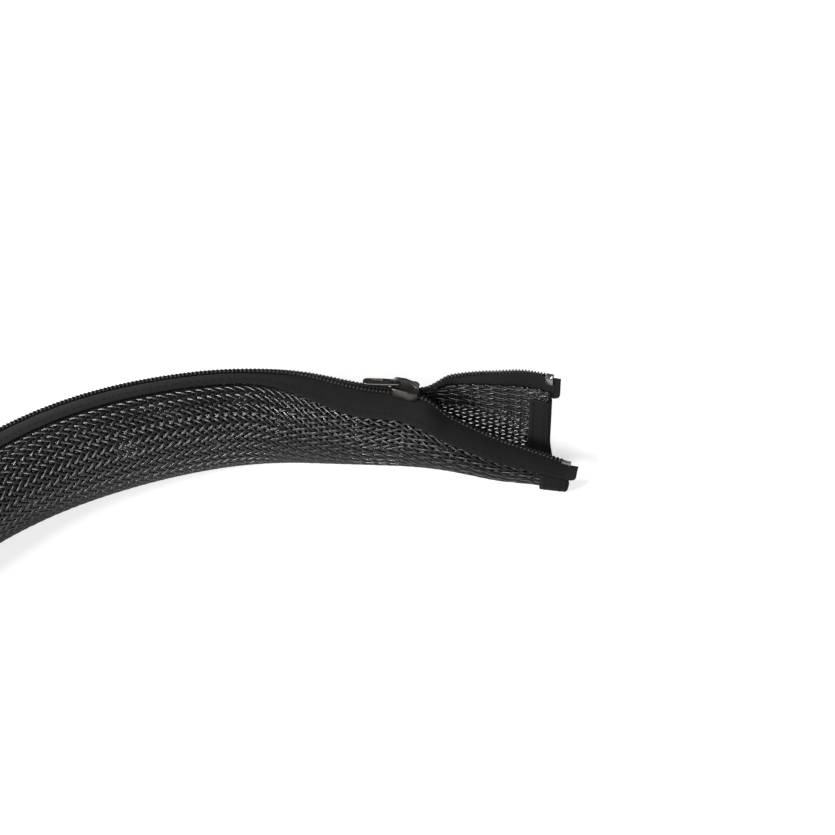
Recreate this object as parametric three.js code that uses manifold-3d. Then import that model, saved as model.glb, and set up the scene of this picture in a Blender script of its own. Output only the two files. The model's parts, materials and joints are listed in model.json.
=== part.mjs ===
// A zippered cable sleeve: a braided tube that is open along one side and closed by a coil zip.
// It lies on a flat surface in a loose arch, unzipped for a short stretch at its mouth.
// Millimetres, +Z up. Three sheet coordinates place every soft piece:
//   s runs along the sleeve from the mouth to the far end,
//   c runs round it from the front zip edge (-girth / 2) to the back zip edge (girth / 2),
//   h runs outwards from the middle of the braid's wall.
import * as THREE from "three";
import { mergeVertices } from "three/addons/utils/BufferGeometryUtils.js";
import Module from "manifold-3d";

const degrees = Math.PI / 180;

// Sleeve
const sleeveLength = 500;
const girth = 92; // round the sleeve, from one edge of the zip to the other
const braidWall = 0.8;
const braidRelief = 0.28; // how far the crossing bundles stand above and below the wall's face
const diamondLength = 9.6; // one diamond of the braid along the sleeve
const diamondWidth = 5; // and round it
const clearance = 0.3; // between any two pieces that touch

// Zip
const tapeWidth = 12;
const tapeThickness = 0.5;
const tapeTail = 3.5; // how far the tapes stick out past the mouth's hem
const braidUnderTape = 5; // overlap where the tape is sewn on the braid
const chainGap = 0.3; // between the two coils where they are closed
const coilWidth = 2.1;
const coilHeight = 1.4;
const coilRidge = 0.25; // depth of the notches between the coil's turns
const coilTurn = 6.4; // length of one ridge of the coil and its notch
const coilStart = 2.4; // from the mouth to the first turn
const coilEnd = 11; // from the last turn to the far end

// Seams and hems
const hemWidth = 8;
const hemThickness = 0.8;
const threadWidth = 0.8;
const threadHeight = 0.35;
const seamInset = 2; // from the tape's outer edge to its seam

// Slider and stops
const splitAt = 55; // from the mouth to the place where the coils part
const sliderLength = 9.6;
const sliderWidthClosed = 6.6;
const sliderWidthOpen = 9.8;
const sliderTravel = 10; // along the closed chain, which is straight that far
const plateThickness = 0.8;
const tapeSag = 0.55; // how far the tapes curve down at the slider's sides
const flangeThickness = 0.7;
const postLength = 3;
const postWidth = 1.5;
const bailWidth = 1.4;
const bailHeight = 2.9;
const bailThickness = 0.8;
const bailLegFar = 3.4; // from the slider's middle to the leg on the closed side
const bailLegNear = -4.2;
const hingeForward = 1.9; // from the slider's middle to the tab's hinge bar
const hingeHeight = 1.1; // above the top plate
const tabLength = 12.5;
const tabWidth = 4.4;
const tabThickness = 1;
const tabEyeLength = 3.1;
const tabEyeWidth = 2.2;
const tabDroop = 5 * degrees;
const stopLength = 3;
const stopWall = 0.5;
const stopReach = 3.2; // across the tape
const bottomStopInset = 13; // from the far end

const straightRun = 32; // past the split, before the arch begins

// How the sleeve lies: its heading at each distance from the mouth, level stretches between as arcs.
const bends = [
  { at: 0, heading: -12 * degrees },
  { at: splitAt, heading: -3.5 * degrees },
  { at: splitAt + straightRun, heading: -3.5 * degrees },
  { at: 0.25 * sleeveLength, heading: 14 * degrees },
  { at: 0.33 * sleeveLength, heading: 26.5 * degrees },
  { at: 0.43 * sleeveLength, heading: 46.5 * degrees },
  { at: 0.66 * sleeveLength, heading: 62 * degrees },
  { at: sleeveLength, heading: 62 * degrees },
];

// How much the braid is spread (above 1) or drawn in (below 1) round the sleeve.
const spreads = [
  { at: 0, spread: 0.82 },
  { at: splitAt, spread: 0.91 },
  { at: splitAt + straightRun, spread: 1.02 },
  { at: 0.25 * sleeveLength, spread: 1.13 },
  { at: 0.33 * sleeveLength, spread: 1.17 },
  { at: 0.45 * sleeveLength, spread: 1.06 },
  { at: 0.66 * sleeveLength, spread: 1.02 },
  { at: sleeveLength, spread: 1.02 },
];

const zipTurnedNear = 10.5 * degrees; // how far the zip is turned back from the top, at the slider
const zipTurnedFar = 50 * degrees; // and along the rest of the sleeve
const zipTurnStart = splitAt + sliderTravel + 1; // the chain is straight as far as the slider runs
const zipTurnEnd = zipTurnStart + 44;
const ovality = 0.24;
const ovalAxis = 45 * degrees;
const flattening = 0.6; // how far the sleeve's own weight presses its underside flat

// The unzipped mouth: a back wall that stands up, a floor, and a front edge that curls over.
const openingRate = 0.85;
const wallLean = 93 * degrees;
const wallFoot = 10;
const floorBack = -3;
const floorFront = -20;
const frontCurl = 216 * degrees;
const frontGather = 0.5;
const gatherRate = 1.9;
const gatherFrom = 4;
const gatherOver = 16;
const coilParting = 0.32; // how fast each coil leaves the chain's middle, past the split
const guideStart = 5; // past the split, the slider holds the edges in its own plane to here
const guideEnd = 16; // and they are free from here
const guideReach = 18; // how far round the sleeve that hold is felt
const slipFront = -2; // at the mouth the mesh is sheared: its front edge is pulled out by this
const slipBack = 7; // and its back wall lies this much further in

const halfGirth = girth / 2;
const braidHalf = halfGirth - tapeWidth + braidUnderTape;
const braidFace = braidWall / 2;
const tapeInner = braidFace + braidRelief + clearance;
const tapeOuter = tapeInner + tapeThickness;
const coilInner = tapeOuter + clearance;
const coilOuter = coilInner + coilHeight;
const hemInner = braidFace + braidRelief + clearance;
const hemOuter = hemInner + hemThickness;
const sectionStep = 0.5;

const clamp01 = (t) => Math.min(1, Math.max(0, t));
const ease = (t) => clamp01(t) ** 2 * (3 - 2 * clamp01(t));
const mix = (a, b, t) => a + (b - a) * t;
const steps = (from, to, count) =>
  Array.from({ length: count + 1 }, (_, i) => mix(from, to, i / count));

// The value of key at s, in straight lines between the knots.
function straightBetween(knots, key, s) {
  if (s <= knots[0].at) return knots[0][key];
  for (let i = 1; i < knots.length; i++) {
    const a = knots[i - 1];
    const b = knots[i];
    if (s <= b.at) return mix(a[key], b[key], (s - a.at) / (b.at - a.at));
  }
  return knots[knots.length - 1][key];
}

// The same, on a smooth curve through the knots.
function smoothBetween(knots, key, s) {
  const last = knots.length - 1;
  const x = Math.min(knots[last].at, Math.max(knots[0].at, s));
  const i = Math.max(
    1,
    knots.findIndex((k) => x <= k.at),
  );
  const slope = (j) => {
    const a = knots[Math.max(0, j - 1)];
    const b = knots[Math.min(last, j + 1)];
    return (b[key] - a[key]) / (b.at - a.at);
  };
  const a = knots[i - 1];
  const b = knots[i];
  const span = b.at - a.at;
  const t = (x - a.at) / span;
  return (
    a[key] * (1 + 2 * t) * (1 - t) ** 2 +
    b[key] * t * t * (3 - 2 * t) +
    span * t * (1 - t) * (slope(i - 1) * (1 - t) - slope(i) * t)
  );
}

// The middle line on the ground, as points every half millimetre from the mouth.
const groundLine = [{ x: 0, y: 0 }];
for (let s = sectionStep; s <= sleeveLength; s += sectionStep) {
  const turn = straightBetween(bends, "heading", s - sectionStep / 2);
  const from = groundLine[groundLine.length - 1];
  groundLine.push({
    x: from.x - sectionStep * Math.cos(turn),
    y: from.y - sectionStep * Math.sin(turn),
  });
}

function groundAt(s) {
  const heading = straightBetween(bends, "heading", s);
  const within = Math.min(sleeveLength, Math.max(0, s));
  const i = Math.min(groundLine.length - 2, Math.floor(within / sectionStep));
  const t = within / sectionStep - i;
  const beyond = s - within;
  return {
    x: mix(groundLine[i].x, groundLine[i + 1].x, t) - beyond * Math.cos(heading),
    y: mix(groundLine[i].y, groundLine[i + 1].y, t) - beyond * Math.sin(heading),
    heading,
  };
}

// The direction that the wall faces at s and c, as an angle from straight down towards the back.
function facingClosed(s, c) {
  const turned = mix(
    zipTurnedNear,
    zipTurnedFar,
    ease((s - zipTurnStart) / (zipTurnEnd - zipTurnStart)),
  );
  const round = (2 * Math.PI * c) / girth;
  return round - turned + 0.5 * ovality * Math.sin(2 * (round - turned - ovalAxis));
}

function facing(s, c) {
  const wall = wallLean * ease((c - floorBack) / (wallFoot - floorBack));
  const curl =
    -frontCurl * clamp01((floorFront - c) / (halfGirth + floorFront)) ** 0.85;
  return mix(facingClosed(s, c), wall + curl, openness(s));
}

function openness(s) {
  return clamp01((splitAt - s) / splitAt) ** openingRate;
}

function spreadAt(s, c) {
  const gather =
    openness(s) ** gatherRate *
    (1 - frontGather) *
    ease((gatherFrom - c) / gatherOver);
  return smoothBetween(spreads, "spread", s) * (1 - gather);
}

function slipAt(s, c) {
  const share = ease((c - floorFront) / (wallFoot - floorFront));
  return mix(slipFront, slipBack, share) * openness(s) ** 2;
}

// The least height of the wall's middle above the ground: it rises at both ends, over the hems.
function leastHeight(s) {
  const fromEnd = Math.min(s, sleeveLength - s);
  const rise = ease((3 * hemWidth - fromEnd) / (1.8 * hemWidth));
  return braidFace + braidRelief + rise * (hemOuter - braidFace - braidRelief);
}

// A section as the sums of the wall's steps, centred on the ground line.
function sumSteps(s, face, spread) {
  const count = Math.round(girth / sectionStep);
  const across = [0];
  const up = [0];
  for (let i = 0; i < count; i++) {
    const c = mix(-halfGirth, halfGirth, (i + 0.5) / count);
    const step = (girth / count) * spread(s, c);
    across.push(across[i] + step * Math.cos(face(s, c)));
    up.push(up[i] + step * Math.sin(face(s, c)));
  }
  const middle = across.reduce((a, b) => a + b) / across.length;
  const lowest = Math.min(...up) + flattening;
  const least = leastHeight(s);
  return {
    across: across.map((a) => a - middle),
    up: up.map((u) => Math.max(0, u - lowest) + least),
  };
}

// Just past the slider both zip edges still lie in the plane of the closed chain, and part sideways.
function guideEdges(s, { across, up }) {
  const past = splitAt - s;
  const hold = ease((guideEnd - past) / (guideEnd - guideStart));
  if (past <= 0 || hold === 0) return;
  const closed = sumSteps(s, facingClosed, (at) => smoothBetween(spreads, "spread", at));
  const last = up.length - 1;
  const tangent = facingClosed(s, halfGirth);
  for (const [side, edge] of [
    [-1, 0],
    [1, last],
  ]) {
    const aside = -side * coilParting * past;
    const chainAcross = (closed.across[0] + closed.across[last]) / 2;
    const chainUp = (closed.up[0] + closed.up[last]) / 2;
    const moveAcross = chainAcross + aside * Math.cos(tangent) - across[edge];
    const moveUp = chainUp + aside * Math.sin(tangent) - up[edge];
    for (let i = 0; i <= last; i++) {
      const fromThisEdge = (Math.abs(i - edge) / last) * girth;
      const share = hold * ease(1 - fromThisEdge / guideReach);
      across[i] += share * moveAcross;
      up[i] += share * moveUp;
    }
  }
}

const sections = new Map();
function sectionAt(s) {
  const key = s.toFixed(4);
  if (!sections.has(key)) {
    const made = sumSteps(s, facing, spreadAt);
    guideEdges(s, made);
    sections.set(key, { ...made, ground: groundAt(s) });
  }
  return sections.get(key);
}

// The point at the sheet coordinates s, c and h.
function place(s, c, h) {
  const { ground, across, up } = sectionAt(s);
  const t = clamp01((c + halfGirth) / girth) * (across.length - 1);
  const i = Math.min(across.length - 2, Math.floor(t));
  const angle = facing(s, c);
  const n = mix(across[i], across[i + 1], t - i) + h * Math.sin(angle);
  const z = mix(up[i], up[i + 1], t - i) - h * Math.cos(angle);
  const slip = slipAt(s, c);
  const sine = Math.sin(ground.heading);
  const cosine = Math.cos(ground.heading);
  return new THREE.Vector3(
    ground.x - n * sine - slip * cosine,
    ground.y + n * cosine - slip * sine,
    Math.max(0, z),
  );
}

// Meshes from grids of points

function geometryOf(points, triangles) {
  const flat = points.flatMap((p) => [p.x, p.y, p.z]);
  return new THREE.BufferGeometry()
    .setAttribute("position", new THREE.Float32BufferAttribute(flat, 3))
    .setIndex(triangles);
}

// A closed body from one outline carried through stations. The outline runs anticlockwise,
// and toPoint gives the point of an outline corner at a station.
function swept(outline, stations, toPoint) {
  const n = outline.length;
  const points = stations.flatMap((t) => outline.map((p) => toPoint(t, p)));
  const cap = THREE.ShapeUtils.triangulateShape(
    outline.map(([x, y]) => new THREE.Vector2(x, y)),
    [],
  );
  const top = (stations.length - 1) * n;
  const triangles = [];
  for (const [a, b, c] of cap) {
    triangles.push(a, c, b);
    triangles.push(top + a, top + b, top + c);
  }
  for (let k = 0; k < top; k += n) {
    for (let i = 0; i < n; i++) {
      const j = (i + 1) % n;
      triangles.push(k + i, k + j, k + n + j);
      triangles.push(k + i, k + n + j, k + n + i);
    }
  }
  return geometryOf(points, triangles);
}

// Triangles between two rows of points that need not hold the same number.
function joinRows(a, b) {
  const triangles = [];
  let i = 0;
  let j = 0;
  while (i < a.length - 1 || j < b.length - 1) {
    const stepA = (i + 1) / (a.length - 1) <= (j + 1) / (b.length - 1);
    if (i < a.length - 1 && (stepA || j === b.length - 1)) {
      triangles.push(a[i], b[j], a[i + 1]);
      i += 1;
    } else {
      triangles.push(a[i], b[j], b[j + 1]);
      j += 1;
    }
  }
  return triangles;
}

const rows = 2 * Math.round(sleeveLength / diamondLength);

// The braid's wall: diamonds in relief outside, a plain face inside, closed along its four edges.
function braidGeometry() {
  const columns = 2 * Math.round(braidHalf / diamondWidth) * 2;
  const innerRows = Math.round(rows / 3);
  const innerColumns = Math.round((columns * 3) / 4);
  const points = [];
  const outer = steps(0, sleeveLength, rows).map((s, i) =>
    steps(-braidHalf, braidHalf, columns).map((c, j) => {
      const side = (i + j) % 2 ? -braidRelief : braidRelief;
      return points.push(place(s, c, braidFace + side)) - 1;
    }),
  );
  const inner = steps(0, sleeveLength, innerRows).map((s) =>
    steps(-braidHalf, braidHalf, innerColumns).map(
      (c) => points.push(place(s, c, -braidFace)) - 1,
    ),
  );
  const triangles = [];
  for (let i = 0; i < rows; i++) {
    for (let j = 0; j < columns; j++) {
      const [a, b] = [outer[i][j], outer[i + 1][j]];
      const [c, d] = [outer[i + 1][j + 1], outer[i][j + 1]];
      if ((i + j) % 2) triangles.push(a, b, d, b, c, d);
      else triangles.push(a, b, c, a, c, d);
    }
  }
  for (let i = 0; i < innerRows; i++) {
    for (let j = 0; j < innerColumns; j++) {
      const [a, b] = [inner[i][j], inner[i + 1][j]];
      const [c, d] = [inner[i + 1][j + 1], inner[i][j + 1]];
      triangles.push(a, c, b, a, d, c);
    }
  }
  const firstOf = (grid) => grid.map((row) => row[0]);
  const lastOf = (grid) => grid.map((row) => row[row.length - 1]);
  triangles.push(...joinRows(inner[0], outer[0]));
  triangles.push(...joinRows(outer[rows], inner[innerRows]));
  triangles.push(...joinRows(firstOf(outer), firstOf(inner)));
  triangles.push(...joinRows(lastOf(inner), lastOf(outer)));
  return geometryOf(points, triangles);
}

// The zip's two sides are mirror images: side is -1 at the front edge and 1 at the back edge,
// and edge is a distance from the middle of the closed chain.
const fromEdge = (side, edge) => side * (halfGirth - edge);

// A bar that runs along the sleeve at one side of the zip, with its outline in edge and h.
function alongZip(side, outline, stations, height = (h) => h) {
  const turned = side < 0 ? outline : [...outline].reverse();
  const corners = turned.map(([edge, h]) => [fromEdge(side, edge), h]);
  return swept(corners, stations, (s, [c, h]) => place(s, c, height(h, s)));
}

const stationsAlong = (from, to, step) =>
  steps(from, to, Math.ceil((to - from) / step));

function tapeGeometry(side, grow = 0) {
  const spans = 3;
  const edges = steps(chainGap / 2 - grow, tapeWidth + grow, spans);
  const outline = [
    ...edges.map((edge) => [edge, tapeInner - grow]),
    ...edges.reverse().map((edge) => [edge, tapeOuter + grow]),
  ];
  const stations = [-tapeTail, ...steps(0, sleeveLength, rows)];
  return alongZip(side, outline, stations);
}

// One side's coil, as a bar with a ridge for every few turns.
function coilGeometry(side, grow = 0) {
  const near = chainGap / 2 - grow;
  const far = near + coilWidth + 2 * grow;
  const outline = [
    [near, coilInner - grow],
    [far, coilInner - grow],
    [far, coilOuter - coilHeight / 2],
    [mix(near, far, 0.7), coilOuter + grow],
    [near, coilOuter - coilHeight / 4 + grow],
  ];
  const last = sleeveLength - coilEnd;
  const stations = stationsAlong(coilStart, last, coilTurn / 2);
  const notch = (s) => (Math.round((s - coilStart) / (coilTurn / 2)) % 2 ? coilRidge : 0);
  const height = (h, s) => (h > coilInner && !grow ? h - notch(s) : h);
  return alongZip(side, outline, stations, height);
}

// A metal clip folded over one edge of the tape, past the last turn of the coil.
function topStopGeometry(side) {
  const inner = tapeInner - clearance;
  const outer = tapeOuter + clearance;
  const edge = chainGap / 2 - clearance;
  const outline = [
    [edge - stopWall, inner - stopWall],
    [stopReach, inner - stopWall],
    [stopReach, inner],
    [edge, inner],
    [edge, outer],
    [stopReach, outer],
    [stopReach, outer + 2 * stopWall],
    [edge - stopWall, outer + 2 * stopWall],
  ];
  const end = coilStart - clearance;
  return alongZip(side, outline, steps(end - stopLength, end, 3));
}

// A metal bridge pressed over both coils at the end of the zip's travel.
function bottomStopGeometry() {
  const half = chainGap / 2 + coilWidth + 2 * clearance;
  const top = coilOuter + 2 * clearance;
  const outline = [
    [-half - stopWall, tapeOuter + clearance],
    [-half, tapeOuter + clearance],
    [-half, top],
    [half, top],
    [half, tapeOuter + clearance],
    [half + stopWall, tapeOuter + clearance],
    [half + stopWall, top + stopWall],
    [-half - stopWall, top + stopWall],
  ];
  const end = sleeveLength - bottomStopInset;
  const stations = steps(end - stopLength, end, 3);
  return swept(outline, stations, (s, [across, h]) => {
    const back = place(s, halfGirth, h);
    const inwards = place(s, halfGirth - 1, h).sub(back);
    return back.addScaledVector(inwards.normalize(), -across);
  });
}

// A woven band folded over the braid's cut end: out is -1 at the mouth and 1 at the far end.
function hemGeometry(out) {
  const end = out < 0 ? 0 : sleeveLength;
  const lip = end + out * (clearance + hemThickness);
  const open = end - out * hemWidth;
  const level = (ss, h) => ss.map((s) => [s, h]);
  const folded = steps(open, end + out * clearance, 3);
  const outline = [
    ...level(steps(open, lip, 3), -hemOuter),
    ...level(steps(lip, open, 3), hemOuter),
    ...level(folded, hemInner),
    ...level(folded.reverse(), -hemInner),
  ];
  const half = halfGirth - tapeWidth - clearance;
  if (out < 0) outline.reverse();
  const stations = stationsAlong(-half, half, 3).reverse();
  return swept(outline, stations, (c, [s, h]) => place(s, c, h));
}

// The line of stitching that lies on each tape.
function tapeSeamGeometry(side) {
  const middle = tapeWidth - seamInset;
  const base = tapeOuter + clearance;
  const outline = [
    [middle - threadWidth / 2, base],
    [middle + threadWidth / 2, base],
    [middle, base + threadHeight],
  ];
  return alongZip(side, outline, stationsAlong(-1, sleeveLength - 1, 8));
}

// Closed meshes joined and cut

const wasm = await Module();
wasm.setup();

function solidOf(geometry) {
  const bare = geometry.index ? geometry.toNonIndexed() : geometry.clone();
  bare.deleteAttribute("normal");
  bare.deleteAttribute("uv");
  const merged = mergeVertices(bare, 1e-4);
  return new wasm.Manifold(
    new wasm.Mesh({
      numProp: 3,
      vertProperties: merged.attributes.position.array,
      triVerts: new Uint32Array(merged.index.array),
    }),
  );
}

function geometryFrom(solid) {
  const { numProp, vertProperties, triVerts } = solid.getMesh();
  const made = new THREE.BufferGeometry();
  made.setAttribute("position", new THREE.BufferAttribute(vertProperties, numProp));
  made.setIndex(new THREE.BufferAttribute(triVerts, 1));
  return made;
}

// A flat outline given depth, standing on z = base.
function plate(outline, base, depth, bevel = 0) {
  const shape = new THREE.Shape(outline.map(([x, y]) => new THREE.Vector2(x, y)));
  const made = new THREE.ExtrudeGeometry(shape, {
    depth: depth - 2 * bevel,
    bevelEnabled: bevel > 0,
    bevelThickness: bevel,
    bevelSize: bevel,
    bevelOffset: -bevel,
    bevelSegments: 1,
  });
  return made.translate(0, 0, base + bevel);
}

// Slider, in its own frame: +X towards the closed chain, +Z out of the sleeve, h = 0 at z = 0.

const lowerPlateTop = tapeInner - clearance - tapeSag;
const upperPlateBase = coilOuter + clearance;
const upperPlateTop = upperPlateBase + plateThickness;
const halfLength = sliderLength / 2;

// The slider's plan: narrow over the closed chain, wide over the two shoulders, notched between them.
function sliderPlan(inset) {
  const arc = steps(0, 1, 5);
  const closed = sliderWidthClosed / 2 - inset;
  const open = sliderWidthOpen / 2 - inset;
  const side = arc.map((t) => [
    mix(halfLength - inset - 0.9, -halfLength + inset + 1.4, t),
    mix(closed, open, ease(t * 1.2)),
  ]);
  const shoulder = [
    [-halfLength + inset + 0.5, open - 0.5],
    [-halfLength + inset, open - 1.6],
    [-halfLength + inset + 0.25, 0.5],
  ];
  const nose = [[halfLength - inset, closed - 0.9]];
  const half = [...nose, ...side, ...shoulder];
  const mirrored = half.map(([x, y]) => [x, -y]).reverse();
  return [...half, ...mirrored];
}

function bailGeometry() {
  const under = bailHeight - bailThickness;
  const legBase = -clearance;
  const outline = [
    [bailLegFar, legBase],
    [bailLegFar + bailThickness, legBase],
    [bailLegFar + bailThickness, bailHeight - 0.9],
    [bailLegFar + bailThickness - 0.5, bailHeight - 0.2],
    [bailLegFar - 0.6, bailHeight],
    [0, bailHeight - 0.15],
    [bailLegNear / 2, bailHeight - 0.8],
    [bailLegNear, 0.5],
    [bailLegNear - 0.2, legBase],
    [bailLegNear + 1.3, legBase],
    [bailLegNear + 1.6, 0.7],
    [bailLegNear / 2 + 0.9, bailHeight - 1.5],
    [0.3, under - 0.15],
    [bailLegFar - 0.7, under],
    [bailLegFar, under - 0.6],
  ];
  return plate(outline, -bailWidth / 2, bailWidth, 0.2)
    .rotateX(Math.PI / 2)
    .translate(0, 0, upperPlateTop);
}

function sliderGeometry(toSliderFrame) {
  const plan = sliderPlan(0);
  const upper = solidOf(plate(plan, upperPlateBase, plateThickness, 0.2));
  const lower = solidOf(plate(plan, lowerPlateTop - plateThickness, plateThickness, 0.2));
  const skirtHeight = upperPlateBase - tapeOuter;
  const skirt = solidOf(plate(plan, upperPlateBase - skirtHeight, skirtHeight + 0.3)).subtract(
    solidOf(
      plate(
        sliderPlan(flangeThickness).map(([x, y]) => [x * 1.6, y]),
        upperPlateBase - skirtHeight - 1,
        skirtHeight + 1,
      ),
    ),
  );
  const post = solidOf(
    plate(
      [
        [-halfLength + 0.3, -postWidth / 2],
        [-halfLength + 0.3 + postLength * 0.55, -postWidth / 2],
        [-halfLength + 0.3 + postLength, 0],
        [-halfLength + 0.3 + postLength * 0.55, postWidth / 2],
        [-halfLength + 0.3, postWidth / 2],
      ],
      lowerPlateTop - plateThickness / 2,
      upperPlateBase - lowerPlateTop + plateThickness,
    ),
  );
  const room = [-1, 1].flatMap((side) => [
    coilGeometry(side, clearance),
    tapeGeometry(side, clearance),
  ]);
  let body = upper.add(lower).add(skirt).add(post).add(solidOf(bailGeometry()));
  for (const taken of room) {
    body = body.subtract(solidOf(taken.applyMatrix4(toSliderFrame)));
  }
  return geometryFrom(body);
}

// The pull tab, in its own frame: the hinge bar lies on Y, the tab runs along +X.
function tabGeometry() {
  const bar = tabThickness / 2;
  const arc = (x, y, radius, from, to, count) =>
    steps(from, to, count).map((a) => [x + radius * Math.cos(a), y + radius * Math.sin(a)]);
  const quarter = Math.PI / 2;
  const eyeHalf = tabEyeWidth / 2 + 0.9;
  const endRadius = 1.4;
  const outline = [
    ...arc(bar, -eyeHalf + 2 * bar, 2 * bar, -2 * quarter, -quarter, 4),
    [tabEyeLength, -eyeHalf],
    [tabEyeLength + 2, -tabWidth / 2],
    ...arc(tabLength - endRadius, -tabWidth / 2 + endRadius, endRadius, -quarter, 0, 5),
    ...arc(tabLength - endRadius, tabWidth / 2 - endRadius, endRadius, 0, quarter, 5),
    [tabEyeLength + 2, tabWidth / 2],
    [tabEyeLength, eyeHalf],
    ...arc(bar, eyeHalf - 2 * bar, 2 * bar, quarter, 2 * quarter, 4),
  ];
  const eye = [
    [bar, -tabEyeWidth / 2],
    [bar + tabEyeLength, -tabEyeWidth / 2 + 0.2],
    [bar + tabEyeLength, tabEyeWidth / 2 - 0.2],
    [bar, tabEyeWidth / 2],
  ];
  const slot = [
    ...arc(tabLength - 3, 0, 0.9, -quarter, quarter, 6),
    ...arc(tabEyeLength + 3.4, 0, 0.9, quarter, 3 * quarter, 6),
  ];
  const body = solidOf(plate(outline, -tabThickness / 2, tabThickness, 0.25))
    .subtract(solidOf(plate(eye, -tabThickness, 2 * tabThickness)))
    .subtract(solidOf(plate(slot, tabThickness / 4, tabThickness)));
  return geometryFrom(body);
}

// Finishes
const black = (roughness) =>
  new THREE.MeshStandardMaterial({ color: 0x1c1b1c, roughness, metalness: 0 });
const finish = {
  braid: black(0.4),
  tape: black(0.9),
  coil: black(0.35),
  thread: black(0.7),
  slider: new THREE.MeshStandardMaterial({ color: 0x6b6663, roughness: 0.35, metalness: 1 }),
  stop: new THREE.MeshStandardMaterial({ color: 0x9a9896, roughness: 0.3, metalness: 1 }),
};

const sleeve = new THREE.Group();

function addPiece(parent, name, geometry, material) {
  const piece = new THREE.Mesh(geometry, material);
  piece.name = name;
  parent.add(piece);
  return piece;
}

addPiece(sleeve, "braid_sleeve", braidGeometry(), finish.braid);
for (const [side, name] of [
  [-1, "front"],
  [1, "back"],
]) {
  addPiece(sleeve, "zip_tape_" + name, tapeGeometry(side), finish.tape);
  addPiece(sleeve, "zip_coil_" + name, coilGeometry(side), finish.coil);
  addPiece(sleeve, "top_stop_" + name, topStopGeometry(side), finish.stop);
  addPiece(sleeve, "tape_seam_" + name, tapeSeamGeometry(side), finish.thread);
}
for (const [out, name] of [
  [-1, "mouth"],
  [1, "far"],
]) {
  addPiece(sleeve, "hem_" + name, hemGeometry(out), finish.tape);
}
addPiece(sleeve, "bottom_stop", bottomStopGeometry(), finish.stop);

// The slider stands on the closed chain just before the coils part, square to the chain.
const chainPoint = (s) => place(s, -halfGirth, 0).add(place(s, halfGirth, 0)).multiplyScalar(0.5);
const sliderOrigin = chainPoint(splitAt);
const along = chainPoint(splitAt + sliderTravel).sub(sliderOrigin).normalize();
const outwards = place(splitAt, halfGirth, 1).sub(place(splitAt, halfGirth, 0));
outwards.addScaledVector(along, -outwards.dot(along)).normalize();
const acrossChain = new THREE.Vector3().crossVectors(outwards, along);
const sliderFrame = new THREE.Matrix4()
  .makeBasis(along, acrossChain, outwards)
  .setPosition(sliderOrigin);

const slider = new THREE.Group();
slider.applyMatrix4(sliderFrame);
sleeve.add(slider);
addPiece(slider, "slider_body", sliderGeometry(sliderFrame.clone().invert()), finish.slider);

const tabHinge = new THREE.Group();
tabHinge.position.set(hingeForward, 0, upperPlateTop + hingeHeight);
tabHinge.rotation.y = tabDroop;
slider.add(tabHinge);
addPiece(tabHinge, "pull_tab", tabGeometry(), finish.slider);

// The part's origin: the middle of its box, on the ground.
sleeve.updateMatrixWorld(true);
const box = new THREE.Box3().setFromObject(sleeve, true);
const middle = box.getCenter(new THREE.Vector3());
sleeve.position.set(-middle.x, -middle.y, -box.min.z);

export default sleeve;
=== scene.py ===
# A zippered cable sleeve, dressed: every soft piece is worked out in sheet coordinates in
# millimetres: s from the mouth to the far end, c round from the front zip edge to the back one,
# and h outwards from the middle of the braid's wall.
import json
import math

import bmesh
import bpy
import numpy as np
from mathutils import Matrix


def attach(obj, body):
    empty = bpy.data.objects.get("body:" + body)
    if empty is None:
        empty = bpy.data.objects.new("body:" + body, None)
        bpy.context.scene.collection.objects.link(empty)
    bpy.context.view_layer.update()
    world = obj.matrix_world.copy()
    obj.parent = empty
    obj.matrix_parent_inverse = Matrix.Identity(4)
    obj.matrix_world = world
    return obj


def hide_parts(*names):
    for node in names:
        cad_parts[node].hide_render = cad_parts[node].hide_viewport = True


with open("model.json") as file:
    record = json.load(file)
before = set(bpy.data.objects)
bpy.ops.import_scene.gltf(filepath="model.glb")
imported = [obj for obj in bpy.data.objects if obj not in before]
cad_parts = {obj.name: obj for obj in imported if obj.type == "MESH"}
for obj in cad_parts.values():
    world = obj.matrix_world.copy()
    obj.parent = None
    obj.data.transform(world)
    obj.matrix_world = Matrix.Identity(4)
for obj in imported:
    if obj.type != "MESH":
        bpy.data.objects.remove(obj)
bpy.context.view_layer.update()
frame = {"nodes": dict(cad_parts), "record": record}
print("frame loaded")

mm = 0.001
degrees = math.pi / 180

# How the sleeve lies, as in the part's own source.
lie = {
    "length": 500,
    "girth": 92,
    # (s, heading in degrees) on the ground
    "bends": [(0, -12), (55, -3.5), (87, -3.5), (125, 14), (165, 26.5), (215, 46.5), (330, 62), (500, 62)],
    # (s, how far the mesh is spread round)
    "spreads": [(0, 0.82), (55, 0.91), (87, 1.02), (125, 1.13), (165, 1.17), (225, 1.06), (330, 1.02), (500, 1.02)],
    "zipTurned": (10.5, 50),  # degrees, before and after the stretch in zipTurn
    "zipTurn": (66, 110),
    "ovality": 0.24,
    "ovalAxis": 45,
    "flattening": 0.6,
    "splitAt": 55,  # where the closed chain starts
    "openingRate": 0.85,
    "wallLean": 93,  # degrees, of the back wall at the mouth
    "wallFoot": 10,
    "floorBack": -3,
    "floorFront": -20,
    "frontCurl": 216,
    "curlRate": 0.85,
    "frontGather": 0.5,
    "gatherRate": 1.9,
    "gatherFrom": 4,
    "gatherOver": 16,
    "coilParting": 0.32,
    "guideStart": 5,
    "guideEnd": 16,
    "guideReach": 18,
    "slipFront": -2,
    "slipBack": 7,
    "step": 0.5,
    "margin": 8,
}

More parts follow.
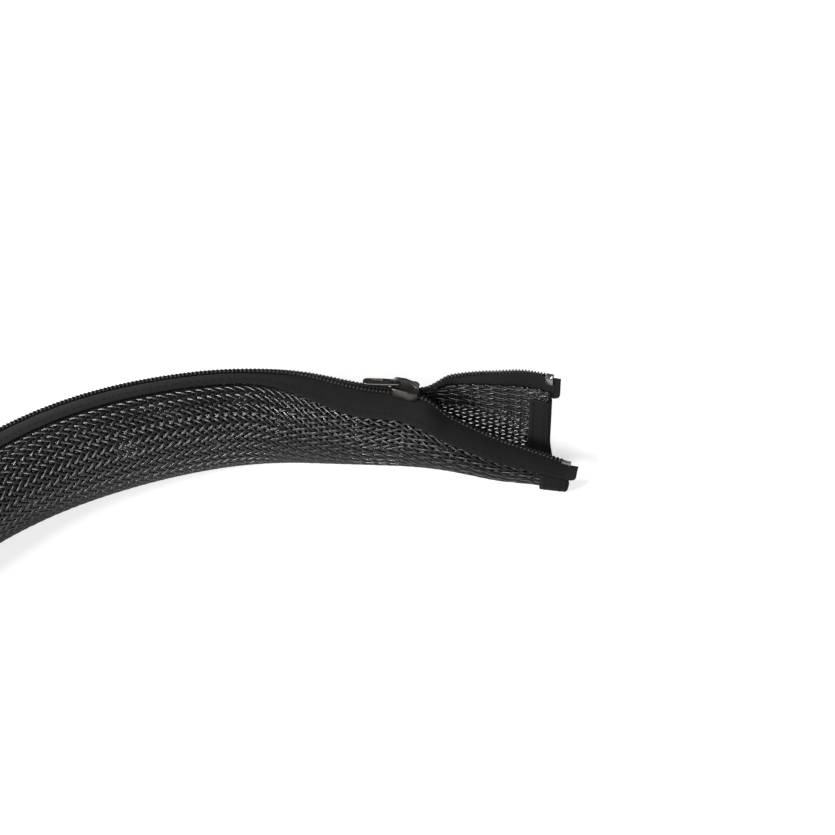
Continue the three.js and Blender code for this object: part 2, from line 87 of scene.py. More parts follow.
# Thicknesses and widths that the pieces share
wall = {"thickness": 0.8, "relief": 0.28, "clearance": 0.3}
zipBand = {
    "width": 12,
    "thickness": 0.5,
    "tail": 3.5,
    "corner": 2.2,  # radius of the tail's outer corner
    "underlap": 5,  # of the braid below the tape
    "chainGap": 0.3,
}
coil = {"width": 2.1, "height": 1.4}
hem = {"width": 8, "thickness": 0.8}
slider = {
    "travel": 10,
    "plate": 0.8,
    "hingeForward": 1.9,  # of the bail's hinge line from the chain's closed end
    "hingeHeight": 1.1,  # and above the upper plate
}

halfGirth = lie["girth"] / 2
braidHalf = halfGirth - zipBand["width"] + zipBand["underlap"]
braidFace = wall["thickness"] / 2
tapeInner = braidFace + wall["relief"] + wall["clearance"]
tapeOuter = tapeInner + zipBand["thickness"]
coilInner = tapeOuter + wall["clearance"]
coilOuter = coilInner + coil["height"]
hemOuter = tapeInner + hem["thickness"]


def ease(t):
    t = np.clip(t, 0, 1)
    return t * t * (3 - 2 * t)


def mix(a, b, t):
    return a + (b - a) * t


# A smooth curve through knots: cubic pieces whose slopes are those between each knot's neighbours.
def smoothBetween(knots, s):
    at, value = np.array(knots, float).T
    x = np.clip(s, at[0], at[-1])
    below = np.maximum(np.arange(len(at)) - 1, 0)
    above = np.minimum(np.arange(len(at)) + 1, len(at) - 1)
    slope = (value[above] - value[below]) / (at[above] - at[below])
    i = np.clip(np.searchsorted(at, x), 1, len(at) - 1)
    span = at[i] - at[i - 1]
    t = (x - at[i - 1]) / span
    ends = value[i - 1] * (1 + 2 * t) * (1 - t) ** 2 + value[i] * t * t * (3 - 2 * t)
    return ends + span * t * (1 - t) * (slope[i - 1] * (1 - t) - slope[i] * t)


def openness(s):
    return np.clip((lie["splitAt"] - s) / lie["splitAt"], 0, 1) ** lie["openingRate"]


# The closed tube faces once round in a girth, turned by the zip's own turn and made a little oval.
def facingClosed(s, c):
    near, far = lie["zipTurned"]
    start, end = lie["zipTurn"]
    turned = degrees * mix(near, far, ease((s - start) / (end - start)))
    around = 2 * math.pi * c / lie["girth"] - turned
    return around + 0.5 * lie["ovality"] * np.sin(2 * (around - degrees * lie["ovalAxis"]))


# Open, it faces down on the floor stretch, turns up at the back wall and curls over in front.
def facing(s, c):
    back = lie["wallLean"] * ease((c - lie["floorBack"]) / (lie["wallFoot"] - lie["floorBack"]))
    reach = np.clip((lie["floorFront"] - c) / (halfGirth + lie["floorFront"]), 0, 1)
    curl = -lie["frontCurl"] * reach ** lie["curlRate"]
    return mix(facingClosed(s, c), degrees * (back + curl), openness(s))


# How far the mesh is sheared at the mouth: the front edge is pulled out, the back wall lies further in.
def slipAt(s, c):
    share = ease((c - lie["floorFront"]) / (lie["wallFoot"] - lie["floorFront"]))
    return mix(lie["slipFront"], lie["slipBack"], share) * openness(s) ** 2


def spreadAt(s, c):
    gather = openness(s) ** lie["gatherRate"] * (1 - lie["frontGather"])
    gather = gather * ease((lie["gatherFrom"] - c) / lie["gatherOver"])
    return smoothBetween(lie["spreads"], s) * (1 - gather)


# Sections as running sums of the wall's steps, centred, pressed flat by the sleeve's weight.
def sumSteps(s, face, spread):
    count = round(lie["girth"] / lie["step"])
    c = (np.arange(count) + 0.5) * lie["girth"] / count - halfGirth
    turn = face(s[:, None], c[None, :])
    step = lie["girth"] / count * spread(s[:, None], c[None, :])
    start = np.zeros((len(s), 1))
    across = np.hstack([start, np.cumsum(step * np.cos(turn), axis=1)])
    up = np.hstack([start, np.cumsum(step * np.sin(turn), axis=1)])
    fromEnd = np.minimum(s, lie["length"] - s)
    rise = ease((3 * hem["width"] - fromEnd) / (1.8 * hem["width"]))
    least = mix(braidFace + wall["relief"], hemOuter, rise)
    lowest = up.min(axis=1, keepdims=True) + lie["flattening"]
    return across - across.mean(axis=1, keepdims=True), np.maximum(0, up - lowest) + least[:, None]


# Every section of the sleeve, half a millimetre apart, with its place on the ground.
def allSections():
    margin, step = lie["margin"], lie["step"]
    s = np.arange(-margin, lie["length"] + margin + step / 2, step)
    across, up = sumSteps(s, facing, spreadAt)
    past = lie["splitAt"] - s
    hold = ease((lie["guideEnd"] - past) / (lie["guideEnd"] - lie["guideStart"])) * (past > 0)
    plain = lambda at, c: smoothBetween(lie["spreads"], at) + 0 * c
    closedAcross, closedUp = sumSteps(s, facingClosed, plain)
    tangent = facingClosed(s, halfGirth)
    fromFront = np.linspace(0, lie["girth"], across.shape[1])
    for side, edge, reach in ((-1, 0, fromFront), (1, -1, fromFront[::-1])):
        aside = -side * lie["coilParting"] * past
        chainAcross = (closedAcross[:, 0] + closedAcross[:, -1]) / 2
        chainUp = (closedUp[:, 0] + closedUp[:, -1]) / 2
        moveAcross = chainAcross + aside * np.cos(tangent) - across[:, edge]
        moveUp = chainUp + aside * np.sin(tangent) - up[:, edge]
        share = hold[:, None] * ease(1 - reach / lie["guideReach"])[None, :]
        across += share * moveAcross[:, None]
        up += share * moveUp[:, None]
    at, heading = np.array(lie["bends"], float).T
    middles = s[:-1] + step / 2
    turn = degrees * np.interp(middles, at, heading)
    x = np.concatenate([[0], np.cumsum(-step * np.cos(turn))])
    y = np.concatenate([[0], np.cumsum(-step * np.sin(turn))])
    start = round(margin / step)
    return s, across, up, x - x[start], y - y[start], degrees * np.interp(s, at, heading)


sectionS, sectionAcross, sectionUp, groundX, groundY, groundTurn = allSections()


# The point at s, c and h, in millimetres, before the part's own origin is taken off.
def rawPlace(s, c, h):
    s, c, h = np.broadcast_arrays(np.asarray(s, float), np.asarray(c, float), np.asarray(h, float))
    row = np.clip((s - sectionS[0]) / lie["step"], 0, len(sectionS) - 1.001)
    i = row.astype(int)
    down = row - i
    column = np.clip((c + halfGirth) / lie["girth"], 0, 1) * (sectionUp.shape[1] - 1)
    j = np.minimum(column.astype(int), sectionUp.shape[1] - 2)
    side = column - j

    def between(table):
        near = mix(table[i, j], table[i, j + 1], side)
        far = mix(table[i + 1, j], table[i + 1, j + 1], side)
        return mix(near, far, down)

    angle = facing(s, c)
    n = between(sectionAcross) + h * np.sin(angle)
    z = np.maximum(0, between(sectionUp) - h * np.cos(angle))
    turn = mix(groundTurn[i], groundTurn[i + 1], down)
    slip = slipAt(s, c)
    x = mix(groundX[i], groundX[i + 1], down) - n * np.sin(turn) - slip * np.cos(turn)
    y = mix(groundY[i], groundY[i + 1], down) + n * np.cos(turn) - slip * np.sin(turn)
    return np.stack([x, y, z], axis=-1)


def unit(v):
    return v / np.linalg.norm(v)


def chainPoint(s):
    return (rawPlace(s, -halfGirth, 0) + rawPlace(s, halfGirth, 0)) / 2


# The slider's frame: along the closed chain, across it and out of the sleeve.
chainOrigin = chainPoint(lie["splitAt"])
chainAlong = unit(chainPoint(lie["splitAt"] + slider["travel"]) - chainOrigin)
chainOut = rawPlace(lie["splitAt"], halfGirth, 1) - rawPlace(lie["splitAt"], halfGirth, 0)
chainOut = unit(chainOut - chainAlong * (chainOut @ chainAlong))
chainAcross = np.cross(chainOut, chainAlong)
upperPlateTop = coilOuter + wall["clearance"] + slider["plate"]
hinge = chainOrigin + chainAlong * slider["hingeForward"] + chainOut * (upperPlateTop + slider["hingeHeight"])
pullJoint = next(j for j in frame["record"]["behaviour"]["joints"] if j["name"] == "pull_hinge")
origin = np.array(pullJoint["pos_m"]) / mm - hinge


def place(s, c, h):
    return (rawPlace(s, c, h) + origin) * mm


print("sections worked out, origin", [round(float(v), 2) for v in origin])


# Meshes from arrays


# A mesh object from points and several arrays of faces, with its sheet coordinates kept on it.
def makeMesh(name, points, faces, lay, finish, body="sleeve", smooth=True):
    corners = np.concatenate([f.ravel() for f in faces]).astype(np.int32)
    sizes = np.concatenate([np.full(len(f), f.shape[1]) for f in faces])
    starts = np.concatenate([[0], np.cumsum(sizes)[:-1]]).astype(np.int32)
    mesh = bpy.data.meshes.new(name)
    mesh.vertices.add(len(points))
    mesh.vertices.foreach_set("co", points.astype(np.float32).ravel())
    mesh.loops.add(len(corners))
    mesh.loops.foreach_set("vertex_index", corners)
    mesh.polygons.add(len(sizes))
    mesh.polygons.foreach_set("loop_start", starts)
    mesh.polygons.foreach_set("use_smooth", np.full(len(sizes), smooth))
    mesh.update(calc_edges=True)
    kept = mesh.attributes.new("lay", "FLOAT_VECTOR", "POINT")
    kept.data.foreach_set("vector", lay.astype(np.float32).ravel())
    piece = bpy.data.objects.new(name, mesh)
    bpy.context.scene.collection.objects.link(piece)
    mesh.materials.append(finish)
    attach(piece, body)
    return piece


# Rings joined into tubes: rings is stations by corners by (s, c, h), and joined says which
# stations carry on to the next. Each run is closed at both ends.
def sweptFaces(count, corners, joined):
    on = np.flatnonzero(joined)
    ring = np.arange(corners)
    after = (ring + 1) % corners
    low = on[:, None] * corners
    high = low + corners
    sides = np.stack([low + ring, low + after, high + after, high + ring], axis=-1).reshape(-1, 4)
    before = np.concatenate([[False], joined])
    behind = np.concatenate([joined, [False]])
    stations = np.arange(count)
    startCaps = stations[~before][:, None] * corners + ring[::-1]
    endCaps = stations[~behind][:, None] * corners + ring
    return [sides, startCaps, endCaps]


def sweep(name, rings, joined, finish, body="sleeve", lay=None, outwards=True):
    count, corners = rings.shape[:2]
    flat = rings.reshape(-1, 3)
    points = place(flat[:, 0], flat[:, 1], flat[:, 2])
    faces = sweptFaces(count, corners, joined)
    if not outwards:
        faces = [f[:, ::-1] for f in faces]
    return makeMesh(name, points, faces, flat if lay is None else lay, finish, body)


# Shader maths


class Wire:
    def __init__(self, tree, socket):
        self.tree = tree
        self.socket = socket

    # Any node: its settings are set first, then each socket gets its value or link.
    def node(self, kind, settings=None, sockets=None, output=0):
        made = self.tree.nodes.new(kind)
        for key, value in (settings or {}).items():
            if key == "stops":
                elements = made.color_ramp.elements
                while len(elements) < len(value):
                    elements.new(0.5)
                for element, (at, tone) in zip(elements, value):
                    element.position = at
                    element.color = (tone, tone, tone, 1)
            else:
                setattr(made, key, value)
        for key, value in (sockets or {}).items():
            if isinstance(value, Wire):
                self.tree.links.new(value.socket, made.inputs[key])
            else:
                made.inputs[key].default_value = value
        return Wire(self.tree, made.outputs[output])

    def maths(self, operation, *values):
        return self.node("ShaderNodeMath", {"operation": operation}, dict(enumerate(values)))

    def __add__(self, other):
        return self.maths("ADD", self, other)

    __radd__ = __add__

    def __rsub__(self, other):
        return self.maths("SUBTRACT", other, self)

    def __mul__(self, other):
        return self.maths("MULTIPLY", self, other)

    __rmul__ = __mul__

    def sine(self):
        return self.maths("SINE", self)

    def size(self):
        return self.maths("ABSOLUTE", self)

    # A colour between two, by this value.
    def tint(self, low, high):
        mixed = self.tree.nodes.new("ShaderNodeMix")
        mixed.data_type = "RGBA"
        self.tree.links.new(self.socket, mixed.inputs["Factor"])
        for key, colour in ((6, low), (7, high)):
            if isinstance(colour, Wire):
                self.tree.links.new(colour.socket, mixed.inputs[key])
            else:
                mixed.inputs[key].default_value = (*colour, 1)
        return Wire(self.tree, mixed.outputs[2])


# A material whose plain values go on the shader, and whose changing ones come from build.
def makeMaterial(name, plain, build):
    made = bpy.data.materials.new(name)
    made.use_nodes = True
    tree = made.node_tree
    shader = tree.nodes["Principled BSDF"]
    start = Wire(tree, None)
    for key, value in plain.items():
        shader.inputs[key].default_value = value
    for key, value in build(start).items():
        tree.links.new(value.socket, shader.inputs[key])
    return made


def layOf(start):
    lay = start.node("ShaderNodeAttribute", {"attribute_name": "lay"}, output="Vector")
    parts = lay.tree.nodes.new("ShaderNodeSeparateXYZ")
    lay.tree.links.new(lay.socket, parts.inputs[0])
    return [Wire(lay.tree, parts.outputs[i]) for i in range(3)]


def objectPoint(start):
    return start.node("ShaderNodeTexCoord", output="Object")


def noiseOf(start, scale, detail=3, rough=0.5):
    return start.node(
        "ShaderNodeTexNoise",
        {},
        {"Vector": objectPoint(start), "Scale": scale, "Detail": detail, "Roughness": rough},
    )


def bumpOf(height, strength, distance):
    return height.node("ShaderNodeBump", {}, {"Height": height, "Strength": strength, "Distance": distance})


# Braid: glossy bundles of three filaments; lay is (s, c, place across the bundle).
def buildBraid(start):
    s, c, across = layOf(start)
    filament = (across * (3 * math.pi)).sine().size()
    patch = noiseOf(start, 90)
    dust = noiseOf(start, 1400, 2)
    tone = (patch * 0.55 + dust * 0.45).tint((0.002, 0.002, 0.0021), (0.01, 0.0098, 0.0097))
    return {
        "Base Color": tone,
        "Roughness": patch * 0.12 + 0.22,
        "Normal": bumpOf(filament + dust * 0.15, 0.35, 0.00008),
    }


# Tape: a matte weave of fine cords along it, with ribs across it that waver from cord to cord.
def buildTape(start):
    s, c, h = layOf(start)
    rib = (s * (2 * math.pi / 0.9) + (c * (2 * math.pi / 1.1)).sine() * 1.4).sine()
    cord = (c * (2 * math.pi / 0.75)).sine()
    fuzz = noiseOf(start, 1600, 3, 0.6)
    patch = noiseOf(start, 70)
    tone = (patch * 0.5 + fuzz * 0.5).tint((0.002, 0.002, 0.0021), (0.0075, 0.0073, 0.0073))
    return {
        "Base Color": tone,
        "Roughness": 0.95 - patch * 0.15,
        "Normal": bumpOf(rib * 0.4 + cord * 0.4 + fuzz * 0.5, 0.5, 0.00009),
    }


# Hem binding: a plain close weave, duller than the tape, with no ribs that can be seen.
def buildBinding(start):
    s, c, h = layOf(start)
    weave = (s * (2 * math.pi / 0.5)).sine() * (c * (2 * math.pi / 0.5)).sine()
    fuzz = noiseOf(start, 1600, 3, 0.6)
    patch = noiseOf(start, 70)
    tone = (patch * 0.5 + fuzz * 0.5).tint((0.002, 0.002, 0.0021), (0.007, 0.0068, 0.0068))
    return {
        "Base Color": tone,
        "Roughness": 0.95 - patch * 0.12,
        "Normal": bumpOf(weave * 0.3 + fuzz * 0.6, 0.45, 0.00007),
    }


def buildThread(start):
    s, c, across = layOf(start)
    twist = (s * (2 * math.pi / 0.35) + across * 6.0).sine()
    fuzz = noiseOf(start, 2500, 2)
    tone = fuzz.tint((0.003, 0.003, 0.0031), (0.011, 0.0108, 0.0107))
    return {"Base Color": tone, "Normal": bumpOf(twist * 0.5 + fuzz * 0.4, 0.5, 0.00006)}


def buildCoil(start):
    patch = noiseOf(start, 500, 2)
    tone = patch.tint((0.003, 0.003, 0.0031), (0.011, 0.0107, 0.0105))
    return {"Base Color": tone, "Roughness": patch * 0.2 + 0.25, "Normal": bumpOf(patch, 0.15, 0.00005)}


# Metal: the dark colour, with the light one in random patches and at sharp edges; that lighter colour is partly
# wear and partly painted highlight.
def metalBuilder(dark, light, rough):
    def build(start):
        wearAndPaintedHighlight = noiseOf(start, 420, 4, 0.6)
        fine = noiseOf(start, 3200, 2)
        edge = start.node("ShaderNodeNewGeometry", output="Pointiness")
        edgeWearAndPaintedHighlight = edge.node("ShaderNodeValToRGB", {"stops": [(0.48, 0.0), (0.58, 1.0)]}, {"Fac": edge})
        return {
            # Lighter in patches and at edges: partly wear, partly painted highlight.
            "Base Color": (wearAndPaintedHighlight * 0.6 + edgeWearAndPaintedHighlight * 0.4).tint(dark, light),
            "Roughness": wearAndPaintedHighlight * 0.25 + rough,
            "Normal": bumpOf(fine * 0.5 + wearAndPaintedHighlight, 0.2, 0.00008),
        }

    return build


gloss = {"Specular IOR Level": 0.5, "Coat Weight": 0.1, "Coat Roughness": 0.2}
cloth = {"Specular IOR Level": 0.16, "Sheen Weight": 0.02, "Sheen Roughness": 0.5}
# The light colours here are partly worn metal and partly painted highlight.
gunmetal = metalBuilder((0.022, 0.02, 0.019), (0.13, 0.119, 0.112), 0.2)
nickel = metalBuilder((0.12, 0.115, 0.11), (0.5, 0.48, 0.47), 0.18)
finishes = {
    "braid": makeMaterial("glossy braid", gloss, buildBraid),
    "tape": makeMaterial("woven tape", cloth, buildTape),
    "binding": makeMaterial("hem binding", cloth, buildBinding),
    "thread": makeMaterial("sewing thread", {"Roughness": 0.9, "Specular IOR Level": 0.12}, buildThread),
    "coil": makeMaterial("nylon coil", {"Specular IOR Level": 0.35}, buildCoil),
    "slider": makeMaterial("gunmetal slider", {"Metallic": 1}, gunmetal),
    "stop": makeMaterial("bright stop", {"Metallic": 1}, nickel),
}
print("materials made")


# The braid


braid = {
    "pitchAlong": 3.3,  # between bundles that run the same way, along the sleeve
    "pitchAround": 1.75,  # and round it
    "slants": [(-1, 0.3), (45, 0.36), (95, 0.53), (501, 0.53)],  # drawn out straighter at the mouth
    "bundleWidth": 1.2,
    "bundleThickness": 0.78,
    "rise": 0.24,  # of a bundle over the ones that it crosses
    "squareness": 1.6,  # how flat a float lies between its two dips
    "selvedge": 0.4,  # kept free at each edge
    "stretches": [(0, 250), (250, 500)],
    "stations": 8,  # in one wave, which passes over two bundles and under two
}


# The running sum of the slant from the mouth, which is how far a bundle has moved round.
def movedRound(s):
    at, slant = np.array(braid["slants"]).T
    fine = np.arange(at[0], at[-1], 0.5)
    sums = np.concatenate([[0], np.cumsum(0.5 * np.interp(fine + 0.25, at, slant))])[:-1]
    return np.interp(s, fine, sums)


# One way's bundles: c = i * pitchAround + way * movedRound(s). Their height is a flattened cosine
# of the count of crossings, 2 * c / pitchAround, four to a wave; the other way's is its negative.
def braidBundles(name, way, fromS, toS):
    step = 2 * braid["pitchAlong"] / braid["stations"]
    s = np.linspace(fromS, toS, round((toS - fromS) / step) + 1)
    edge = braidHalf - braid["selvedge"]
    slant = braid["slants"][-1][1]
    reach = (edge + slant * lie["length"]) / braid["pitchAround"]
    i = np.arange(-math.ceil(reach), math.ceil(reach) + 1)
    c = i[:, None] * braid["pitchAround"] + way * movedRound(s)[None, :]
    inside = np.abs(c) <= edge
    long = inside.sum(axis=1) >= 2
    c, inside = c[long], inside[long]
    sAll = np.broadcast_to(s, c.shape)[inside]
    cAll = c[inside]
    strand = np.broadcast_to(np.arange(len(c))[:, None], c.shape)[inside]
    joined = strand[1:] == strand[:-1]
    wave = np.cos(2 * math.pi * (2 * cAll / braid["pitchAround"] - 0.5) / 4)
    square = braid["squareness"]
    height = way * braid["rise"] * np.tanh(square * wave) / math.tanh(square)
    w, t = braid["bundleWidth"] / 2, braid["bundleThickness"] / 2
    high = 0.87 * t  # a hexagon's own proportions
    ring = np.array([(-w, 0), (-w * 0.5, high), (w * 0.5, high), (w, 0), (w * 0.5, -high), (-w * 0.5, -high)])
    norm = math.hypot(1, slant)
    rings = np.empty((len(sAll), len(ring), 3))
    rings[:, :, 0] = sAll[:, None] - way * slant / norm * ring[:, 0]
    rings[:, :, 1] = cAll[:, None] + ring[:, 0] / norm
    rings[:, :, 2] = height[:, None] + ring[:, 1]
    lay = rings.reshape(-1, 3).copy()
    lay[:, 2] = np.tile(ring[:, 0] / (2 * w) + 0.5, len(sAll))
    piece = sweep(name, rings, joined, finishes["braid"], lay=lay, outwards=False)
    return piece


for number, (fromS, toS) in enumerate(braid["stretches"], 1):
    for way, word in ((1, "right"), (-1, "left")):
        piece = braidBundles(f"braid_{word}_{number}", way, fromS, toS)
        print("braid", piece.name, len(piece.data.polygons), "faces")
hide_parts("braid_sleeve")


# The zip: side is -1 at the front edge and 1 at the back one, edge the distance from its middle


def fromEdge(side, edge):
    return side * (halfGirth - edge)


# A tape: a rounded flat outline in (edge, h) carried along the sleeve, its tail's outer corner
# rounded by a quarter circle.
def tapePiece(side, name):
    half = zipBand["thickness"] / 2
    middle = (tapeInner + tapeOuter) / 2
    edges = np.linspace(zipBand["chainGap"] / 2 + half, zipBand["width"] - half, 11)
    round_ = np.linspace(-math.pi / 2, math.pi / 2, 5)[1:-1]
    far = [(edges[-1] + half * math.cos(a), middle + half * math.sin(a)) for a in round_]
    near = [(edges[0] - half * math.cos(a), middle - half * math.sin(a)) for a in round_]
    outline = np.array([(e, middle - half) for e in edges] + far + [(e, middle + half) for e in edges[::-1]] + near)
    corner = zipBand["corner"]
    whole = lie["length"] + zipBand["tail"]
    fromTail = np.concatenate([np.linspace(0, corner, 9)[:-1], np.linspace(corner, whole, 502)])
    s = fromTail - zipBand["tail"]
    cut = corner - np.sqrt(corner**2 - np.clip(corner - fromTail, 0, corner) ** 2)
    rings = np.empty((len(s), len(outline), 3))
    rings[:, :, 0] = s[:, None]
    rings[:, :, 1] = fromEdge(side, outline[:, 0] * (1 - cut[:, None] / zipBand["width"]))
    rings[:, :, 2] = outline[:, 1]
    piece = sweep(name, rings, np.full(len(s) - 1, True), finishes["tape"], outwards=side > 0)
    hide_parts("zip_tape_front" if side < 0 else "zip_tape_back")
    cut = zipBand["width"] - zipBand["chainGap"] / 2
    return piece


coil.update(
    first=2.4,
    last=489,
    pitch=1.28,
    radius=0.36,  # of the filament
    head=0.3,  # how far a loop reaches past the chain's middle
    perTurn=12,
    boxiness=0.8,  # below 1, a loop has flatter sides than an ellipse
    core=0.4,
    coreSections=330,
)


# A coil: one filament wound in flattened loops, whose heads reach past the chain's middle and
# lie between the other side's turns. A flat cord runs inside it, which the stitches hold.
def coilPiece(side, name):
    turns = round((coil["last"] - coil["first"]) / coil["pitch"])
    u = np.arange(turns * coil["perTurn"] + 1) * 2 * math.pi / coil["perTurn"]
    near = -coil["head"] + coil["radius"]
    far = zipBand["chainGap"] / 2 + coil["width"] - coil["radius"]
    low = tapeOuter + 0.9 * coil["radius"]
    high = coilOuter - coil["radius"]
    cosU, sinU = np.cos(u), np.sin(u)
    squared = np.sign(cosU) * np.abs(cosU) ** coil["boxiness"]
    edge = (near + far) / 2 - squared * (far - near) / 2
    h = (low + high) / 2 + sinU * (high - low) / 2
    phase = 0.25 * coil["pitch"] * side
    s = coil["first"] + phase + coil["pitch"] * (u / (2 * math.pi) - 0.08 * np.sin(u))
    radial = np.stack([-cosU * (high - low), sinU * (far - near)], axis=-1)
    radial /= np.linalg.norm(radial, axis=1, keepdims=True)
    v = np.arange(6) * 2 * math.pi / 6
    r = coil["radius"]
    rings = np.empty((len(u), len(v), 3))
    rings[:, :, 0] = s[:, None] + r * np.sin(v)
    rings[:, :, 1] = fromEdge(side, edge[:, None] + r * np.cos(v) * radial[:, :1])
    rings[:, :, 2] = h[:, None] + r * np.cos(v) * radial[:, 1:]
    piece = sweep(name, rings, np.full(len(u) - 1, True), finishes["coil"], outwards=side > 0)
    core = np.linspace(coil["first"] - 0.6, coil["last"] + 0.6, coil["coreSections"])
    v = np.arange(8) * 2 * math.pi / 8
    rings = np.empty((len(core), len(v), 3))
    rings[:, :, 0] = core[:, None]
    rings[:, :, 1] = fromEdge(side, (near + far) / 2 + 0.2 + 1.9 * coil["core"] * np.cos(v))
    rings[:, :, 2] = tapeOuter + 0.62 + 1.8 * coil["core"] * np.sin(v)
    cord = sweep(f"{name}_cord", rings, np.full(len(core) - 1, True), finishes["thread"], outwards=side > 0)
    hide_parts("zip_coil_front" if side < 0 else "zip_coil_back")
    return piece


# Stitches: short round runs that lie along a line of points in sheet coordinates.
def stitchPiece(name, centre, tangent, length, radius, base):
    stations = 6
    t = np.linspace(-0.5, 0.5, stations)
    arch = np.sqrt(1 - (2 * t) ** 2 * 0.92)
    v = np.arange(6) * 2 * math.pi / 6
    count = len(centre)
    rings = np.empty((count, stations, len(v), 3))
    aside = np.array([-tangent[1], tangent[0]])
    girthHere = radius * np.sqrt(np.clip(arch, 0.3, 1))
    for axis in (0, 1):
        along = centre[:, None, None, axis] + t[None, :, None] * length * tangent[axis]
        rings[..., axis] = along + girthHere[None, :, None] * np.cos(v) * aside[axis]
    lift = arch[None, :, None] * 1.1 + girthHere[None, :, None] / radius * np.sin(v) - 0.9
    rings[..., 2] = base + radius * lift
    joined = np.tile([True] * (stations - 1) + [False], count)[:-1]
    lay = np.empty((count * stations * len(v), 3))
    lay[:, 0] = np.tile(np.repeat(t * length, len(v)), count)
    lay[:, 1] = 0
    lay[:, 2] = np.tile(np.cos(v), count * stations)
    piece = sweep(name, rings.reshape(-1, len(v), 3), joined, finishes["thread"], lay=lay)
    return piece


seam = {"inset": 2, "pitch": 2.6, "length": 2.1, "radius": 0.17}
for side, word in ((-1, "front"), (1, "back")):
    tapePiece(side, f"tape_{word}")
    coilPiece(side, f"coil_{word}")
    s = np.arange(1.5, lie["length"] - 1.5, seam["pitch"])
    line = np.full(len(s), fromEdge(side, zipBand["width"] - seam["inset"]))
    centre = np.stack([s, line], axis=-1)
    stitches = stitchPiece(f"seam_{word}", centre, (1, 0), seam["length"], seam["radius"], tapeOuter)
    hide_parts(f"tape_seam_{word}")
print("zip made")


hem.update(
    ridge=0.15,  # of the band's cut edge
    sections=90,
    rows=(1.6, 6.4),  # of stitches, from the end
    stitchPitch=2.4,
    stitchLength=1.9,
    stitchRadius=0.15,
)


# A hem: a band folded over the braid's cut end, with a rounded lip and two rows of stitches.
def hemPiece(out, name):
    end = 0 if out < 0 else lie["length"]
    gap, thick = wall["clearance"], hem["thickness"]
    middle = (tapeInner + hemOuter) / 2
    a = np.linspace(-math.pi / 2, math.pi / 2, 9)
    reach = np.linspace(0, hem["width"], 7)
    outerLip = [(-(gap + thick) * math.cos(x), hemOuter * math.sin(x)) for x in a]
    innerLip = [(-gap * math.cos(x), tapeInner * math.sin(x)) for x in a[::-1]]
    outline = np.array(
        [(d, -hemOuter) for d in reach[:0:-1]]
        + outerLip
        + [(d, hemOuter) for d in reach[1:]]
        + [(hem["width"] + hem["ridge"], middle)]
        + [(d, tapeInner) for d in reach[:0:-1]]
        + innerLip
        + [(d, -tapeInner) for d in reach[1:]]
        + [(hem["width"] + hem["ridge"], -middle)]
    )
    half = halfGirth - zipBand["width"] - gap
    c = np.linspace(-half, half, hem["sections"])
    rings = np.empty((len(c), len(outline), 3))
    rings[:, :, 0] = end - out * outline[:, 0]
    rings[:, :, 1] = c[:, None]
    rings[:, :, 2] = outline[:, 1]
    piece = sweep(name, rings, np.full(len(c) - 1, True), finishes["binding"], outwards=out > 0)
    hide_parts("hem_mouth" if out < 0 else "hem_far")
    across = 2 * hem["width"] + 2 * hemOuter
    cut = float(spreadAt(np.full(len(c), float(end)), c).mean()) * 2 * half
    across * mm
    line = np.arange(-half + 1.5, half - 1, hem["stitchPitch"])
    for row, inset in enumerate(hem["rows"], 1):
        at = np.full(len(line), end - out * inset)
        for face, base in (("outside", hemOuter), ("inside", -hemOuter)):
            centre = np.stack([at, line], axis=-1)
            stitches = f"{name}_stitch_{face}_{row}"
            stitchPiece(stitches, centre, (0, 1), hem["stitchLength"], hem["stitchRadius"], base)


hemPiece(-1, "hem_band_mouth")
hemPiece(1, "hem_band_far")
print("hems made")

metal = {
    "weld": 1e-6,  # metres
    "coplanar": 1.5,  # degrees, below which two facets are one face
    "sharp": 32,  # degrees, above which an edge is eased
    "segments": 3,
}


# The cast and pressed metal pieces: the part's own solids with their edges eased.
def metalPiece(node, name, body, finish, easing):
    work = bmesh.new()
    work.from_mesh(frame["nodes"][node].data)
    bmesh.ops.remove_doubles(work, verts=work.verts, dist=metal["weld"])
    flat = metal["coplanar"] * degrees
    bmesh.ops.dissolve_limit(work, angle_limit=flat, verts=work.verts, edges=work.edges)
    mesh = bpy.data.meshes.new(name)
    work.to_mesh(mesh)
    work.free()
    mesh.shade_smooth()
    mesh.materials.clear()
    mesh.materials.append(finish)
    piece = bpy.data.objects.new(name, mesh)
    bpy.context.scene.collection.objects.link(piece)
    bevel = piece.modifiers.new("eased edges", "BEVEL")
    bevel.width = easing * mm
    bevel.segments = metal["segments"]
    bevel.limit_method = "ANGLE"
    bevel.angle_limit = metal["sharp"] * degrees
    bevel.harden_normals = True
    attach(piece, body)
    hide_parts(node)


metalPiece("slider_body", "slider_casting", "slider", finishes["slider"], 0.3)
metalPiece("pull_tab", "pull_bar", "pull", finishes["slider"], 0.25)
for node, name in (("top_stop_front", "stop_front"), ("top_stop_back", "stop_back"), ("bottom_stop", "stop_end")):
    metalPiece(node, name, "sleeve", finishes["stop"], 0.3)
print("metal pieces made")

# Stage, light and camera
scene = bpy.context.scene
scene.view_settings.view_transform = "Standard"

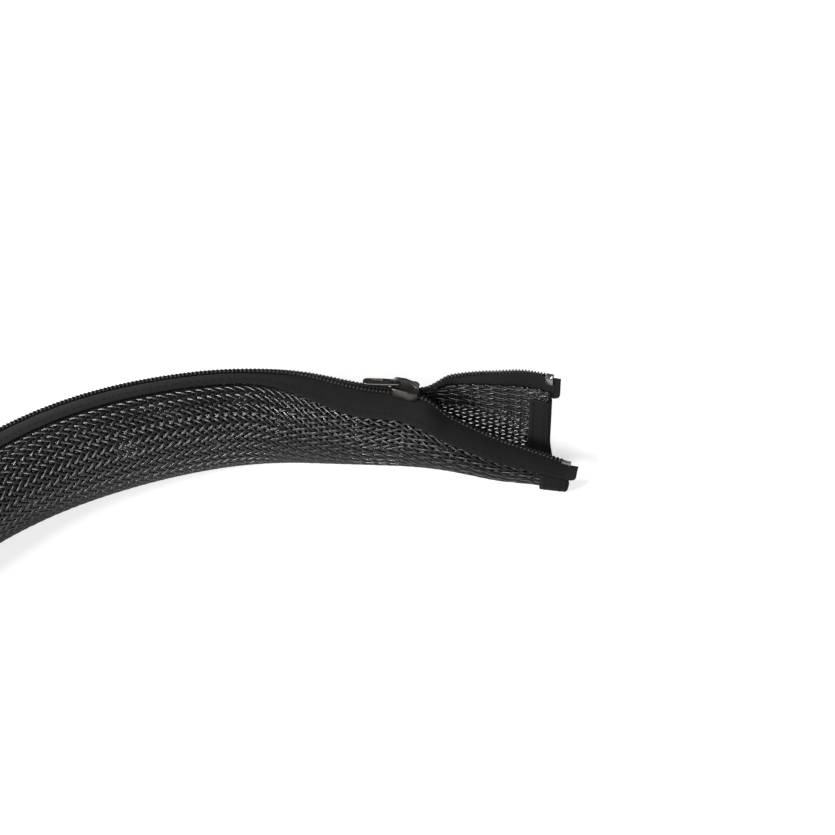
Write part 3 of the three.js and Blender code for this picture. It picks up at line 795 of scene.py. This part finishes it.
camera = {
    "target": (0.12968, 0.15814, 0),
    "distance": 0.75,
    "elevation": 44,
    "focalPixels": 2137.5,
    "imagePixels": 835,
}
lens = bpy.data.cameras.new("camera")
lens.sensor_width = 36
lens.lens = 36 * camera["focalPixels"] / camera["imagePixels"]
lens.clip_start, lens.clip_end = 0.01, 20
viewer = bpy.data.objects.new("camera", lens)
tilt = camera["elevation"] * degrees
viewer.location = (
    camera["target"][0],
    camera["target"][1] - camera["distance"] * math.cos(tilt),
    camera["distance"] * math.sin(tilt),
)
viewer.rotation_euler = (math.pi / 2 - tilt, 0, 0)
scene.collection.objects.link(viewer)
scene.camera = viewer

ground = {"reach": 6, "below": 0.0002, "albedo": 0.42, "shown": 0.64}
floorMesh = bpy.data.meshes.new("floor")
corners = [(x * ground["reach"], y * ground["reach"], -ground["below"]) for x, y in ((-1, -1), (1, -1), (1, 1), (-1, 1))]
floorMesh.from_pydata(corners, [], [(0, 1, 2, 3)])
floor = bpy.data.objects.new("floor", floorMesh)
scene.collection.objects.link(floor)


# The floor is seen paler than it lights the object, and keeps the shadow.
def buildFloor(start):
    seen = start.node("ShaderNodeLightPath", output="Is Camera Ray")
    return {"Emission Color": seen.tint((0, 0, 0), (ground["shown"],) * 3)}


plainFloor = {"Base Color": (*(ground["albedo"],) * 3, 1), "Roughness": 0.9, "Emission Strength": 1.0}
floorMesh.materials.append(makeMaterial("pale floor", plainFloor, buildFloor))

world = bpy.data.worlds.new("studio")
scene.world = world
world.use_nodes = True
background = world.node_tree.nodes["Background"]
path = Wire(world.node_tree, None).node("ShaderNodeLightPath", output="Is Camera Ray")
tone = path.tint((0.12, 0.12, 0.12), (1, 1, 1))
world.node_tree.links.new(tone.socket, background.inputs["Color"])

lamps = {
    "key": {"place": (-0.55, 0.15, 0.95), "size": 0.28, "power": 10.0},
    "left": {"place": (-0.62, -0.45, 0.5), "size": 0.26, "power": 16.0},
    "front": {"place": (0.1, -0.8, 0.65), "size": 0.35, "power": 9.0},
}
for name, lamp in lamps.items():
    light = bpy.data.lights.new(name, "AREA")
    light.size = lamp["size"]
    light.energy = lamp["power"]
    holder = bpy.data.objects.new(name, light)
    holder.location = lamp["place"]
    aim = np.array(camera["target"]) - np.array(lamp["place"])
    flat = math.hypot(aim[0], aim[1])
    holder.rotation_euler = (math.pi / 2 + math.atan2(aim[2], flat), 0, math.atan2(aim[1], aim[0]) - math.pi / 2)
    scene.collection.objects.link(holder)
print("stage set")
